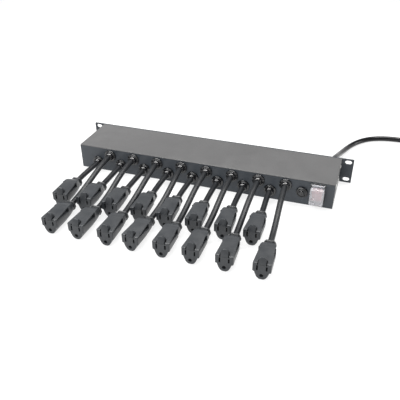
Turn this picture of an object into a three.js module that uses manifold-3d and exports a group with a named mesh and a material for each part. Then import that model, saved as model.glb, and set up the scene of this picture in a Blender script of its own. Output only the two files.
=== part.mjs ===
// A 1U rack power strip: a sheet-metal chassis behind a rack panel, with sixteen corded outlets,
// a guarded rocker switch, a resettable breaker and a coiled mains lead with its plug.
// Millimetres. X runs along the strip, Y runs towards the rack panel and Z is up.
// The origin is the centre of the chassis floor's underside, which is on the table.
import * as THREE from "three";
import { mergeVertices } from "three/addons/utils/BufferGeometryUtils.js";
import Module from "manifold-3d";

const gap = 0.3; // clearance between touching pieces
const chassis = { width: 443, depth: 93, height: 43.7, sheet: 1.2 };
const rack = {
  width: 482.6, thickness: 2.5, slotSpacing: 465.1, slotRise: 31.75, slotLength: 11, slotHeight: 7,
};
const outlet = {
  count: 8, pitch: 44.1, longFirst: -163.5, shortFirst: -187.7, longRow: 31, shortRow: 15.8,
};
const bushing = { flange: 10.2, flangeDepth: 3, neck: 7.6, nose: 6, length: 10, inside: 9 };
const pigtail = { diameter: 9 };
const connector = {
  length: 61, width: 25, height: 26.5, axis: 13.5, bladeRow: 19, groundRow: 7, bladeGap: 12.7,
};
const thumbTab = { half: 5.3, high: 8, lean: 3.4, back: 12.5 }; // the arch on top of a connector's face
const longReach = 197; // from the outlet panel to the faces of the long row
const shortReach = 131;
const rocker = { x: 195.8, z: 23, width: 15.4, reach: 11.1, pivot: 1 };
const guard = {
  width: 22.4, top: 36, bottom: 7.6, front: -59, wall: 1.3, hingeY: -50.4, hingeZ: 39.2, pin: 1.4,
};
const breaker = { x: 171.8, z: 22.5, neck: 5.6, nut: 9.1, button: 3.9 };
const mains = { diameter: 9.5, x: 206, z: 21, sleeve: 30 };
const coil = { x: 400, y: 175, radius: 55.5, columns: 4, rows: 3, pitch: 9.9 };
const plug = { x: 470.3, y: 119, axis: 12.4, sleeve: 22, shoulder: 30, length: 56 };
const groundStud = { x: 150, y: 20 };

const front = -chassis.depth / 2;
const back = chassis.depth / 2;
const side = chassis.width / 2;
const roof = chassis.height - chassis.sheet;
const panelFront = back - rack.thickness;

// The connectors stand where the cords let them lie: sideways place, turn in degrees and the
// sideways bow of the cord, outlet by outlet.
const longPlaces = [
  { x: -162.5, turn: 0.8, bow: 1 },
  { x: -118.8, turn: -0.6, bow: -1 },
  { x: -71.8, turn: 1.6, bow: 3 },
  { x: -33.2, turn: -3, bow: 6 },
  { x: 13.2, turn: 0.6, bow: -1.5 },
  { x: 55.8, turn: -0.6, bow: -1 },
  { x: 103.4, turn: 2, bow: -1 },
  { x: 154, turn: 2.1, bow: 2 },
];
const shortPlaces = [
  { x: -185.2, turn: 5, bow: 0 },
  { x: -143.6, turn: 1, bow: 0 },
  { x: -99.8, turn: 1.2, bow: 0 },
  { x: -51, turn: 4, bow: 0 },
  { x: -8.9, turn: 3, bow: 0 },
  { x: 36.2, turn: 3, bow: 0 },
  { x: 80.8, turn: 3, bow: 0 },
  { x: 123.6, turn: 0.4, bow: 0 },
];

// The mains lead from its sleeve down to the table and across to its coil.
const mainsRoute = [
  [206, 77.1, 21], [206.9, 88, 20], [208.6, 99, 17.6], [210.6, 112, 14.2], [213.2, 126, 10.9],
  [216.6, 141, 8.2], [221, 156.5, 6.3], [227, 173, 5.3], [235, 189, 4.9], [245, 203, 4.8],
  [257, 214.5, 4.8], [271, 223, 4.8], [287, 228.6, 4.8], [304, 231.3, 4.8], [322, 232, 4.8],
  [345.8, 232, 4.8],
];

// From the coil to the plug.
const mainsTail = [[470.3, 138, 15.7], [470.3, 131.5, 13.9], [470.3, 125.5, 12.8], [470.3, 119.3, 12.4]];

const wasm = await Module();
wasm.setup();

// A closed geometry as a solid, with its faces turned outwards.
function solid(geometry) {
  const bare = geometry.clone();
  bare.deleteAttribute("normal");
  bare.deleteAttribute("uv");
  const merged = mergeVertices(bare, 1e-4);
  const at = merged.attributes.position;
  const corner = (i) => new THREE.Vector3().fromBufferAttribute(at, i);
  const faces = [];
  let volume = 0;
  for (let i = 0; i < merged.index.count; i += 3) {
    const [a, b, c] = [0, 1, 2].map((k) => merged.index.getX(i + k));
    if (a === b || b === c || c === a) continue;
    faces.push([a, b, c]);
    volume += corner(a).dot(corner(b).cross(corner(c)));
  }
  const triVerts = new Uint32Array(faces.flatMap(([a, b, c]) => (volume < 0 ? [a, c, b] : [a, b, c])));
  const vertProperties = new Float32Array(at.array);
  return new wasm.Manifold(new wasm.Mesh({ numProp: 3, vertProperties, triVerts }));
}

function geometryOf(body) {
  const { vertProperties, triVerts } = body.getMesh();
  const geometry = new THREE.BufferGeometry();
  geometry.setAttribute("position", new THREE.BufferAttribute(vertProperties, 3));
  geometry.setIndex(new THREE.BufferAttribute(triVerts, 1));
  const faceted = geometry.toNonIndexed();
  faceted.computeVertexNormals();
  return faceted;
}

function block(x0, x1, y0, y1, z0, z1) {
  const geometry = new THREE.BoxGeometry(x1 - x0, y1 - y0, z1 - z0);
  return solid(geometry.translate((x0 + x1) / 2, (y0 + y1) / 2, (z0 + z1) / 2));
}

// A body turned about the Y direction through (x, z), from [radius, y] pairs.
function turned(profile, x, z, sides = 10) {
  const points = profile.map(([radius, y]) => new THREE.Vector2(radius, y));
  return solid(new THREE.LatheGeometry(points, sides).translate(x, 0, z));
}

// A round bar along Y, centred on (x, z).
function cylinder(radius, y0, y1, x, z, sides = 16) {
  return turned([[0, y0], [radius, y0], [radius, y1], [0, y1]], x, z, sides);
}

// A flat outline of [y, z] pairs stretched along X.
function bar(outline, x0, x1) {
  const shape = new THREE.Shape(outline.map(([y, z]) => new THREE.Vector2(y, z)));
  const geometry = new THREE.ExtrudeGeometry(shape, { depth: x1 - x0, bevelEnabled: false });
  geometry.applyMatrix4(new THREE.Matrix4().makeBasis(
    new THREE.Vector3(0, 1, 0), new THREE.Vector3(0, 0, 1), new THREE.Vector3(1, 0, 0)));
  return solid(geometry.translate(x0, 0, 0));
}

function tube(curve, diameter, steps, sides = 8) {
  const ring = new THREE.Shape();
  for (let i = 0; i < sides; i++) {
    const angle = (2 * Math.PI * (i + 0.5)) / sides;
    const point = [Math.cos(angle) * diameter / 2, Math.sin(angle) * diameter / 2];
    if (i) ring.lineTo(...point);
    else ring.moveTo(...point);
  }
  ring.closePath();
  return solid(new THREE.ExtrudeGeometry(ring, { steps, extrudePath: curve }));
}

// A closed body through rings of [x, y, z] points, all in the same order, with flat ends.
function loft(rings) {
  const size = rings[0].length;
  const middle = (ring) => [0, 1, 2].map((k) => ring.reduce((sum, point) => sum + point[k], 0) / size);
  const points = [...rings.flat(), middle(rings[0]), middle(rings.at(-1))];
  const faces = [];
  for (let i = 0; i < size; i++) {
    const next = (i + 1) % size;
    for (let r = 0; r + 1 < rings.length; r++) {
      const [a, b] = [r * size, (r + 1) * size];
      faces.push(a + i, a + next, b + next, a + i, b + next, b + i);
    }
    const last = (rings.length - 1) * size;
    faces.push(rings.length * size, next, i, rings.length * size + 1, last + i, last + next);
  }
  const geometry = new THREE.BufferGeometry();
  geometry.setAttribute("position", new THREE.Float32BufferAttribute(points.flat(), 3));
  geometry.setIndex(faces);
  return solid(geometry);
}

const paint = { color: 0x5d5f62, roughness: 0.55, metalness: 0.3 };
const materials = {
  paintedSteel: new THREE.MeshStandardMaterial(paint),
  darkSteel: new THREE.MeshStandardMaterial({ ...paint, color: 0x34383d }),
  vinyl: new THREE.MeshStandardMaterial({ color: 0x2b2d2f, roughness: 0.6, metalness: 0 }),
  cordJacket: new THREE.MeshStandardMaterial({ color: 0x202224, roughness: 0.5, metalness: 0 }),
  nylon: new THREE.MeshStandardMaterial({ color: 0x121314, roughness: 0.35, metalness: 0 }),
  litRed: new THREE.MeshStandardMaterial({ color: 0xd05f66, roughness: 0.3, metalness: 0 }),
  clear: new THREE.MeshStandardMaterial({ color: 0xe8eef2, roughness: 0.1, metalness: 0 }),
  copper: new THREE.MeshStandardMaterial({ color: 0xb06a3c, roughness: 0.4, metalness: 1 }),
  phenolic: new THREE.MeshStandardMaterial({ color: 0x6b3a22, roughness: 0.7, metalness: 0 }),
};

const rackPowerStrip = new THREE.Group();

function add(name, body, material, parent = rackPowerStrip) {
  const mesh = new THREE.Mesh(geometryOf(body), materials[material]);
  mesh.name = name;
  parent.add(mesh);
  return mesh;
}

// The chassis: a tray with two walls, the roof over it and the panel that closes the far side.
function buildChassis() {
  const floor = block(-side, side, front + chassis.sheet + gap, panelFront - gap, 0, chassis.sheet);
  const wall = (x0, x1) => block(x0, x1, front + chassis.sheet + gap, panelFront - gap, 0, roof - gap);
  const walls = wall(-side, -side + chassis.sheet).add(wall(side - chassis.sheet, side));
  const studHole = cylinder(2.2, -2, 6, 0, 0, 8).rotate([90, 0, 0]);
  add("chassis_tray", floor.add(walls).subtract(studHole.translate([groundStud.x, groundStud.y, 0])),
    "paintedSteel");
  const bend = 1;
  add("top_cover", bar([
    [front, roof], [panelFront - gap, roof], [panelFront - gap, chassis.height],
    [front + bend, chassis.height], [front, chassis.height - bend],
  ], -side, side), "paintedSteel");
}

function slotCutter(x, z) {
  const reach = (rack.slotLength - rack.slotHeight) / 2;
  const radius = rack.slotHeight / 2;
  const end = (dx) => cylinder(radius, back - 9, back + 9, x + dx, z);
  const middle = block(x - reach, x + reach, back - 9, back + 9, z - radius, z + radius);
  return middle.add(end(-reach)).add(end(reach));
}

function buildRackPanel() {
  let plate = block(-rack.width / 2, rack.width / 2, panelFront, back, 0, chassis.height);
  for (const x of [-rack.slotSpacing / 2, rack.slotSpacing / 2])
    for (const rise of [-rack.slotRise / 2, rack.slotRise / 2])
      plate = plate.subtract(slotCutter(x, chassis.height / 2 + rise));
  add("rack_panel", plate.subtract(cylinder(8.3, back - 9, back + 9, mains.x, mains.z)), "darkSteel");
}

// The outlet panel carries the sixteen cord bushings, which are locked into it.
function buildOutletPanel() {
  const inner = front + chassis.sheet;
  const profile = [
    [0, front - bushing.length], [bushing.nose, front - bushing.length],
    [bushing.neck, front - bushing.length + 4], [bushing.neck, front - bushing.flangeDepth],
    [bushing.flange, front - bushing.flangeDepth + 0.8], [bushing.flange, front + 0.4],
    [bushing.neck, front + 0.4], [bushing.neck, inner + bushing.inside], [0, inner + bushing.inside],
  ];
  let panel = block(-side, side, front, inner, 0, roof - gap);
  for (let i = 0; i < outlet.count; i++) {
    panel = panel.add(turned(profile, outlet.longFirst + i * outlet.pitch, outlet.longRow));
    panel = panel.add(turned(profile, outlet.shortFirst + i * outlet.pitch, outlet.shortRow));
  }
  const { x, z } = rocker;
  const cutOut = block(x - 10.2, x + 10.2, front - 9, inner + 9, z - 13.8, z + 13.8);
  const breakerHole = cylinder(6, front - 9, inner + 9, breaker.x, breaker.z);
  add("outlet_panel", panel.subtract(breakerHole).subtract(cutOut), "darkSteel");
}

// Half of a connector's outline from its underside up to its flat top, as [x, z] pairs.
const halfOutline = [
  [2.6, 0.3], [5.6, 2.4], [8.2, 7.4], [10.8, 12.6], [12.5, 13.4], [12.5, 25.2], [11.4, 26.5],
];
const outline = [...halfOutline, ...halfOutline.map(([x, z]) => [-x, z]).reverse()];

// Along its length a connector narrows behind its wings into a round collar.
const connectorStations = [
  { y: 0, width: 1, round: 0 },
  { y: 36, width: 0.97, round: 0 },
  { y: 37, width: 0.88, round: 0 },
  { y: 50, width: 0.84, round: 0.25 },
  { y: 58.5, width: 0.8, round: 0.9 },
  { y: connector.length, width: 0.66, round: 1 },
];

function connectorBody() {
  const collar = 8.6;
  const rings = connectorStations.map(({ y, width, round }) => outline.map(([x, z]) => {
    const angle = Math.atan2(z - connector.axis, x);
    const circle = [Math.cos(angle) * collar, Math.sin(angle) * collar];
    const shrink = round === 1 ? width / 0.8 : 1;
    return [
      THREE.MathUtils.lerp(x * width, circle[0], round) * shrink,
      y,
      connector.axis + THREE.MathUtils.lerp(z - connector.axis, circle[1], round) * shrink,
    ];
  }));
  const slot = (x, height) => block(x - 1.2, x + 1.2, -1, 16, connector.bladeRow - height / 2,
    connector.bladeRow + height / 2);
  const ground = cylinder(2.7, -1, 18, 0, connector.groundRow, 8);
  return loft(rings)
    .add(tabBody())
    .subtract(slot(-connector.bladeGap / 2, 8.4))
    .subtract(slot(connector.bladeGap / 2, 7))
    .subtract(ground);
}

// The thumb tab: an arch over the face that leans back, and slopes down to the top behind.
function tabBody() {
  const { half, high, lean, back: reach } = thumbTab;
  const foot = connector.height - 1;
  return loft([0, 0.45, 0.8, 1].map((t) => {
    const width = half * (1 - 0.45 * t * t);
    const rise = high * Math.cos((t * Math.PI) / 2) + 0.1;
    const arch = [0, 1, 2, 3, 4, 5, 6, 7, 8].map((i) => {
      const up = rise * Math.sin((i * Math.PI) / 8) ** 0.7;
      const along = 0.1 + t * reach + (lean * up * (1 - t)) / high;
      return [width * Math.cos((i * Math.PI) / 8), along, connector.height + up];
    });
    return [...arch, [-width, 0.1 + t * reach, foot], [width, 0.1 + t * reach, foot]];
  }));
}

// A free cord from its bushing's nose to the collar of its connector.
function pigtailCurve(start, place, reach) {
  const turn = THREE.MathUtils.degToRad(place.turn);
  const along = connector.length + gap;
  const end = new THREE.Vector3(
    place.x - Math.sin(turn) * along, front - reach + Math.cos(turn) * along, connector.axis);
  const hold = start.distanceTo(end) * 0.4;
  start.y -= Math.abs(place.bow / hold) * pigtail.diameter / 2; // a leaning cord's end clears its bushing
  const leave = new THREE.Vector3(place.bow, -hold, 0).add(start);
  const arrive = new THREE.Vector3(-Math.sin(turn), Math.cos(turn), 0).multiplyScalar(hold).add(end);
  return new THREE.CubicBezierCurve3(start, leave, arrive, end);
}

function buildOutlets() {
  const body = connectorBody();
  const { longFirst, shortFirst, longRow, shortRow, pitch } = outlet;
  const rows = [
    { row: "long", places: longPlaces, first: longFirst, z: longRow, reach: longReach, steps: 6 },
    { row: "short", places: shortPlaces, first: shortFirst, z: shortRow, reach: shortReach, steps: 3 },
  ];
  for (const { row, places, first, z, reach, steps } of rows) {
    places.forEach((place, i) => {
      const seat = new THREE.Group();
      seat.position.set(place.x, front - reach, 0);
      seat.rotation.z = THREE.MathUtils.degToRad(place.turn);
      rackPowerStrip.add(seat);
      add(`${row}_connector_${i + 1}`, body, "vinyl", seat);
      const start = new THREE.Vector3(first + i * pitch, front - bushing.length - gap, z);
      const curve = pigtailCurve(start, place, reach);
      add(`${row}_cord_${i + 1}`, tube(curve, pigtail.diameter, steps), "cordJacket");
    });
  }
}

// The rocker switch: a bezel and housing, the rocker on its pivot and the hinged clear guard.
function buildSwitch() {
  const { x, z } = rocker;
  const bezel = block(x - 11.2, x + 11.2, front - 1.5, front - gap, z - 15.4, z + 13.4);
  const housing = block(x - 9.9, x + 9.9, front - 1, front + 26, z - 13.2, z + 13.2);
  const well = block(x - 8, x + 8, front - 9, front + 9, z - 11.5, z + 11.5);
  const { wall, hingeY, hingeZ, pin } = guard;
  const eye = 2.4;
  const corner = eye * 0.7;
  const lug = (x0) => bar([
    [front - gap, hingeZ - eye], [front - gap, hingeZ + eye], [hingeY, hingeZ + eye],
    [hingeY - corner, hingeZ + corner], [hingeY - eye, hingeZ], [hingeY - corner, hingeZ - corner],
    [hingeY, hingeZ - eye],
  ], x0, x0 + 1.8);
  const riser = block(x - 11.2, x + 11.2, front - 1.5, front - gap, z + 13, hingeZ + eye);
  const rod = (radius, reach) => cylinder(radius, -reach, reach, 0, 0, 10)
    .rotate([0, 0, 90]).translate([x, hingeY, hingeZ]);
  const hinge = lug(x - 11.2).add(lug(x + 9.4)).subtract(rod(pin + gap, 14));
  add("switch_body", bezel.add(housing).subtract(well).add(riser).add(hinge), "nylon");

  // Its ends are arcs about the pivot, and its two front faces meet in a shallow V.
  const end = (degrees, up) => {
    const angle = THREE.MathUtils.degToRad(degrees);
    return [-rocker.reach * Math.sin(angle), up * rocker.reach * Math.cos(angle)];
  };
  const profile = [
    [3, -5], [3, 5], end(-13, 1), end(1, 1), end(15, 1), [-3.46, 0.55], end(33, -1), end(20, -1), end(5, -1),
  ];
  add("switch_rocker", bar(profile.map(([dy, dz]) => [front + rocker.pivot + dy, z + dz]),
    x - rocker.width / 2, x + rocker.width / 2), "litRed");

  const halfWidth = guard.width / 2;
  const shell = block(x - halfWidth, x + halfWidth, guard.front, front - 1.8, guard.bottom, guard.top);
  const halfInside = halfWidth - wall;
  const hollow = block(
    x - halfInside, x + halfInside, guard.front + wall, front, guard.bottom + wall, guard.top - wall);
  const strap = block(x - 9, x + 9, hingeY - 0.6, hingeY + 0.6, guard.top - 0.5, hingeZ);
  add("switch_guard", shell.subtract(hollow).add(strap).add(rod(pin, 11)), "clear");
}

function buildBreaker() {
  const { x, z, neck, nut, button } = breaker;
  const inner = front + chassis.sheet + gap;
  const housing = block(x - 7.5, x + 7.5, inner, inner + 30, z - 15, z + 15);
  const stem = cylinder(neck, front - 4.2, inner + 1, x, z);
  const bore = cylinder(button + gap, front - 9, inner + 8, x, z);
  add("breaker_body", housing.add(stem).subtract(bore), "nylon");
  add("breaker_nut", turned([
    [neck + gap, front - 3.4], [nut - 1.2, front - 3.4], [nut, front - 2.4], [nut, front - gap],
    [neck + gap, front - gap], [neck + gap, front - 3.4],
  ], x, z, 16), "nylon");
  add("breaker_button", turned([
    [0, front - 6], [button - 0.8, front - 6], [button, front - 5.2], [button, front + 5], [0, front + 5],
  ], x, z, 16), "nylon");
}

// The mains lead: a gland in the rack panel, the free lead, its coil and the moulded plug.
function buildMains() {
  const end = back + mains.sleeve;
  add("mains_gland", turned([
    [0, panelFront - 8], [8, panelFront - 8], [8, back + gap], [11, back + gap], [11, back + 3.2],
    [8.6, back + 4], [6.2, end], [0, end],
  ], mains.x, mains.z, 16), "nylon");
  const route = new THREE.CatmullRomCurve3(mainsRoute.map((point) => new THREE.Vector3(...point)));
  add("mains_cord", tube(route, mains.diameter, 12), "cordJacket");

  const halfWide = ((coil.columns - 1) * coil.pitch + mains.diameter) / 2;
  const high = (coil.rows - 1) * coil.pitch + mains.diameter;
  const corner = 3;
  const section = [
    [-halfWide, corner], [-halfWide + corner, 0], [halfWide - corner, 0], [halfWide, corner],
    [halfWide, high - corner], [halfWide - corner, high], [-halfWide + corner, high],
    [-halfWide, high - corner], [-halfWide, corner],
  ].map(([offset, height]) => new THREE.Vector2(coil.radius + offset, height));
  const ring = new THREE.LatheGeometry(section, 32).rotateX(Math.PI / 2).translate(coil.x, coil.y, 0);
  add("mains_coil", solid(ring), "cordJacket");

  // From the coil's outer turn the lead drops to its plug, which points along -Y.
  const tail = new THREE.CatmullRomCurve3(mainsTail.map((point) => new THREE.Vector3(...point)));
  add("mains_cord_tail", tube(tail, mains.diameter, 3), "cordJacket");
  const station = (along, width, height) => [
    [width, -height], [width, height], [width * 0.6, height * 1.12], [-width * 0.6, height * 1.12],
    [-width, height], [-width, -height], [-width * 0.6, -height * 1.12], [width * 0.6, -height * 1.12],
  ].map(([dx, dz]) => [plug.x + dx, plug.y - along, plug.axis + dz]);
  const body = loft([
    station(0, 5.4, 5), station(plug.sleeve, 8, 7), station(plug.shoulder, 12.5, 9.5),
    station(plug.length, 13, 10.8),
  ]);
  const blade = (dx, dz, width, height, length) => block(plug.x + dx - width / 2, plug.x + dx + width / 2,
    plug.y - plug.length - length, plug.y - plug.length + 2, dz - height / 2, dz + height / 2);
  add("mains_plug", body.add(blade(-6.35, 16, 1.5, 6.3, 16)).add(blade(6.35, 16, 1.5, 6.3, 16))
    .add(blade(0, 4.6, 4.8, 4.8, 19)), "vinyl");
}

// Inside: three bus bars on an insulating base, the feed wires and the ground stud.
function buildWiring() {
  const base = { x0: -195, x1: 125, y0: -22, y1: 26, z0: 1.5, z1: 6 };
  add("bus_insulator", block(base.x0, base.x1, base.y0, base.y1, base.z0, base.z1), "phenolic");
  const bars = { live: -16, neutral: 0, ground: 16 };
  for (const [name, y] of Object.entries(bars))
    add(`${name}_bus_bar`,
      block(base.x0 + 8, base.x1 + 6, y - 3, y + 3, base.z1 + gap, base.z1 + gap + 3), "copper");

  const wire = (name, points) => add(name, tube(
    new THREE.CatmullRomCurve3(points.map((point) => new THREE.Vector3(...point))), 3.4, 8, 6), "cordJacket");
  const end = base.x1 + 6.3 + gap;
  wire("feed_wire_line",
    [[203, 35, 25], [203, 30, 25], [198, 20, 29], [185, 5, 32], [172, -2, 30], [171.8, -13.1, 28]]);
  wire("feed_wire_neutral",
    [[204, 35, 17.5], [204, 30, 17], [196, 20, 12], [175, 10, 9], [150, 1, 7.8], [end, 0, 7.8]]);
  wire("feed_wire_ground",
    [[209.5, 35, 20], [209.5, 30, 19], [204, 26, 9], [188, 24, 6], [170, 22, 7], [153.9, 20.5, 8]]);
  wire("jumper_wire_breaker",
    [[171.8, -13.1, 18], [174, -4, 17], [184, 0, 18], [194, -7, 20], [195.8, -13, 22], [195.8, -20, 22]]);
  wire("jumper_wire_live",
    [[195.8, -20, 14], [195.8, -14, 14], [192, -7, 11], [176, -4, 6], [152, -12, 6.6], [end, -16, 7.8]]);
  wire("jumper_wire_ground",
    [[146.2, 19.8, 8], [142, 19, 8.4], [138, 18, 8.2], [135, 17, 8], [end, 16, 7.8]]);

  const { x, y } = groundStud;
  const stud = new THREE.LatheGeometry([
    [0, -0], [2, 0], [2, 4.6], [3.6, 4.6], [3.6, 10], [2, 10], [2, 14], [0, 14],
  ].map(([radius, height]) => new THREE.Vector2(radius, height)), 12);
  add("ground_stud", solid(stud.rotateX(Math.PI / 2).translate(x, y, 0)), "copper");
}

buildChassis();
buildRackPanel();
buildOutletPanel();
buildOutlets();
buildSwitch();
buildBreaker();
buildMains();
buildWiring();

export default rackPowerStrip;
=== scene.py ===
# A 1U rack power strip with sixteen corded outlets, in Blender 4.5. Metres, +Z up, X along the strip.
import math
import bmesh
import bpy
import numpy as np
from mathutils import Matrix, Vector
from mathutils.geometry import tessellate_polygon


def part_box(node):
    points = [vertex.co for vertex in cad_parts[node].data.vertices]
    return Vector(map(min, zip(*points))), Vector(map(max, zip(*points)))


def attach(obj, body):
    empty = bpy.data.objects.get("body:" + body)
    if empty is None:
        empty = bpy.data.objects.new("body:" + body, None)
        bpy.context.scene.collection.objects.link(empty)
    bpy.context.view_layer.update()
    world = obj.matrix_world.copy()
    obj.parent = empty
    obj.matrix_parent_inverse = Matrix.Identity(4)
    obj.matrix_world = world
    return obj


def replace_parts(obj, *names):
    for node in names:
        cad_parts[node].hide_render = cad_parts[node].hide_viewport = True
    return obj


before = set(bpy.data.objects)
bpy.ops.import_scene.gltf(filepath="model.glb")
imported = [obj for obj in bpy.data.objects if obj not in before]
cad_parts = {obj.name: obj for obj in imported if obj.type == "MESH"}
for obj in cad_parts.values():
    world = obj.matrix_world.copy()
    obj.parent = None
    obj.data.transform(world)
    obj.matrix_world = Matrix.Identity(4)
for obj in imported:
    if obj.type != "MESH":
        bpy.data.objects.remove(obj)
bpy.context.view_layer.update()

mm = 0.001
coverLow, coverHigh = np.array(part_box("top_cover"))
rackLow, rackHigh = np.array(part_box("rack_panel"))
frontY = coverLow[1]  # the outlet panel's near face
sideX = coverHigh[0]
topZ = coverHigh[2]
panelY = rackLow[1]  # the rack panel's near face
backY = rackHigh[1]

view = {
    "place": (0.2477, -0.7485, 0.4523),
    "azimuth": -19.32,  # degrees, from +Y towards +X
    "elevation": 32.84,
    "roll": -0.47,
    "lens": 46.34,
}


def makeCamera():
    azimuth, elevation, roll = (math.radians(view[k]) for k in ("azimuth", "elevation", "roll"))
    ahead = np.array([
        math.sin(azimuth) * math.cos(elevation),
        math.cos(azimuth) * math.cos(elevation),
        -math.sin(elevation),
    ])
    right = np.cross(ahead, [0, 0, 1])
    right /= np.linalg.norm(right)
    up = np.cross(right, ahead)
    turnedRight = right * math.cos(roll) + up * math.sin(roll)
    turnedUp = up * math.cos(roll) - right * math.sin(roll)
    axes = np.eye(4)
    axes[:3, 0], axes[:3, 1], axes[:3, 2], axes[:3, 3] = turnedRight, turnedUp, -ahead, view["place"]
    data = bpy.data.cameras.new("camera")
    data.lens = view["lens"]
    data.sensor_width = 36
    data.clip_start, data.clip_end = 0.05, 20
    camera = bpy.data.objects.new("camera", data)
    camera.matrix_world = Matrix(axes.tolist())
    bpy.context.collection.objects.link(camera)
    bpy.context.scene.camera = camera


light = {
    "world": (0.93, 0.96, 1.0),
    "worldStrength": 0.14,
    "floor": 0.25,
    "floorGlow": 0.8,  # lifts the floor to white all over, so that shadows stay faint
    "areas": [
        # name, place, target, size, watts, colour
        ("above", (-0.1, 0.3, 1.3), (0, -0.05, 0), (1.9, 0.45), 38, (1, 0.99, 0.97)),
        ("front", (-0.35, -0.9, 1.0), (0, -0.05, 0), (1.6, 0.25), 15, (0.97, 0.99, 1)),
        ("right", (1.5, 0.5, 0.3), (0, -0.25, 0.02), (0.6, 0.3), 5, (1, 1, 1)),
    ],
}

backdrop = {"flat": 4.0, "cove": 1.2, "height": 2.4, "sides": 96}


def makeStage():
    bpy.context.scene.view_settings.view_transform = "Standard"
    world = bpy.data.worlds.new("studio")
    bpy.context.scene.world = world
    world.use_nodes = True
    background = world.node_tree.nodes["Background"]
    background.inputs["Color"].default_value = (*light["world"], 1)
    background.inputs["Strength"].default_value = light["worldStrength"]
    for name, place, target, size, watts, colour in light["areas"]:
        data = bpy.data.lights.new(name, "AREA")
        data.shape = "RECTANGLE"
        data.size, data.size_y = size
        data.energy, data.color = watts, colour
        lamp = bpy.data.objects.new(name, data)
        direction = np.array(target) - np.array(place)
        towards = (-1 * Vector(direction)).to_track_quat("Z", "Y").to_matrix()
        lamp.matrix_world = Matrix.Translation(place) @ towards.to_4x4()
        bpy.context.collection.objects.link(lamp)
    # the floor turns up into a low round backdrop: a flat disc, a quarter circle and a wall, spun about +Z
    turn = np.linspace(0, np.pi / 2, 17)
    radius = np.concatenate([[0.001], backdrop["flat"] + backdrop["cove"] * np.sin(turn)])
    radius = np.append(radius, radius[-1])
    height = np.concatenate([[0], backdrop["cove"] * (1 - np.cos(turn)), [backdrop["height"]]])
    around = np.linspace(0, 2 * np.pi, backdrop["sides"], endpoint=False)
    points = np.stack([
        radius[:, None] * np.cos(around), radius[:, None] * np.sin(around),
        np.repeat(height[:, None], len(around), 1)], -1)
    floor = bpy.data.meshes.new("floor")
    faces = loopFaces(len(radius), len(around)).tolist()
    floor.from_pydata(points.reshape(-1, 3).tolist(), [], faces + [list(range(len(around)))])
    floor.shade_smooth()
    floorObject = bpy.data.objects.new("floor", floor)
    floorObject.location.z = -0.0002
    bpy.context.collection.objects.link(floorObject)
    floor.materials.append(floorPaper())


def newMaterial(name, colour, roughness, metallic=0.0, **sockets):
    material = bpy.data.materials.new(name)
    material.use_nodes = True
    shader = material.node_tree.nodes["Principled BSDF"]
    shader.inputs["Base Color"].default_value = (*colour, 1)
    shader.inputs["Roughness"].default_value = roughness
    shader.inputs["Metallic"].default_value = metallic
    for socket, value in sockets.items():
        shader.inputs[socket.replace("_", " ")].default_value = value
    material.diffuse_color = (*colour, 1)
    return material


def addNode(material, kind, **values):
    node = material.node_tree.nodes.new("ShaderNode" + kind)
    for key, value in values.items():
        if key in node.inputs:
            node.inputs[key].default_value = value
        else:
            setattr(node, key, value)
    return node


def joinNodes(material, *pairs):
    for start, end in pairs:
        material.node_tree.links.new(start, end)


def noisy(material, scale, stretch=(1, 1, 1), source="Object", detail=4.0, roughness=0.55):
    # noise read in the piece's own coordinates, stretched along chosen directions
    coordinates = addNode(material, "TexCoord")
    mapping = addNode(material, "Mapping", Scale=stretch)
    noise = addNode(material, "TexNoise", Scale=scale, Detail=detail, Roughness=roughness)
    joinNodes(material, (coordinates.outputs[source], mapping.inputs["Vector"]),
              (mapping.outputs["Vector"], noise.inputs["Vector"]))
    return noise.outputs["Fac"]


def ramp(material, value, low, high):
    # a value between 0 and 1 turned into a colour or a grey between low and high
    node = addNode(material, "ValToRGB")
    node.color_ramp.elements[0].position, node.color_ramp.elements[1].position = 0.3, 0.7
    for element, colour in zip(node.color_ramp.elements, (low, high)):
        element.color = (*colour, 1) if isinstance(colour, tuple) else (colour, colour, colour, 1)
    joinNodes(material, (value, node.inputs["Fac"]))
    return node.outputs["Color"]


def bump(material, height, strength, distance, after=None):
    node = addNode(material, "Bump", Strength=strength, Distance=distance)
    joinNodes(material, (height, node.inputs["Height"]))
    if after is not None:
        joinNodes(material, (after, node.inputs["Normal"]))
    return node.outputs["Normal"]


def finishWith(material, colour=None, roughness=None, normal=None):
    shader = material.node_tree.nodes["Principled BSDF"]
    for value, socket in ((colour, "Base Color"), (roughness, "Roughness"), (normal, "Normal")):
        if value is not None:
            joinNodes(material, (value, shader.inputs[socket]))
    return material


def floorPaper():
    shade = light["floor"]
    glow = light["floorGlow"]
    paper = newMaterial("floorPaper", (shade,) * 3, 0.9, Specular_IOR_Level=0.1, Emission_Strength=glow)
    grain = noisy(paper, 60)
    return finishWith(paper, colour=ramp(paper, grain, shade * 0.99, shade * 1.01))


def powderCoat(name, colour, tone):
    # fine orange-peel paint: small pebbles in the surface, and faint broad patches in its shade
    paint = newMaterial(name, colour, 0.5, Specular_IOR_Level=0.45)
    pebbles = noisy(paint, 900, detail=2)
    waves = noisy(paint, 160, detail=1)
    patches = noisy(paint, 9, detail=3)
    dark = tuple(channel * (1 - tone) for channel in colour)
    bright = tuple(channel * (1 + tone) for channel in colour)
    shade = ramp(paint, patches, dark, bright)
    gloss = ramp(paint, noisy(paint, 40), 0.36, 0.5)
    normal = bump(paint, pebbles, 0.25, 0.0002)
    return finishWith(paint, shade, gloss, bump(paint, waves, 0.12, 0.0004, normal))


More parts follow.
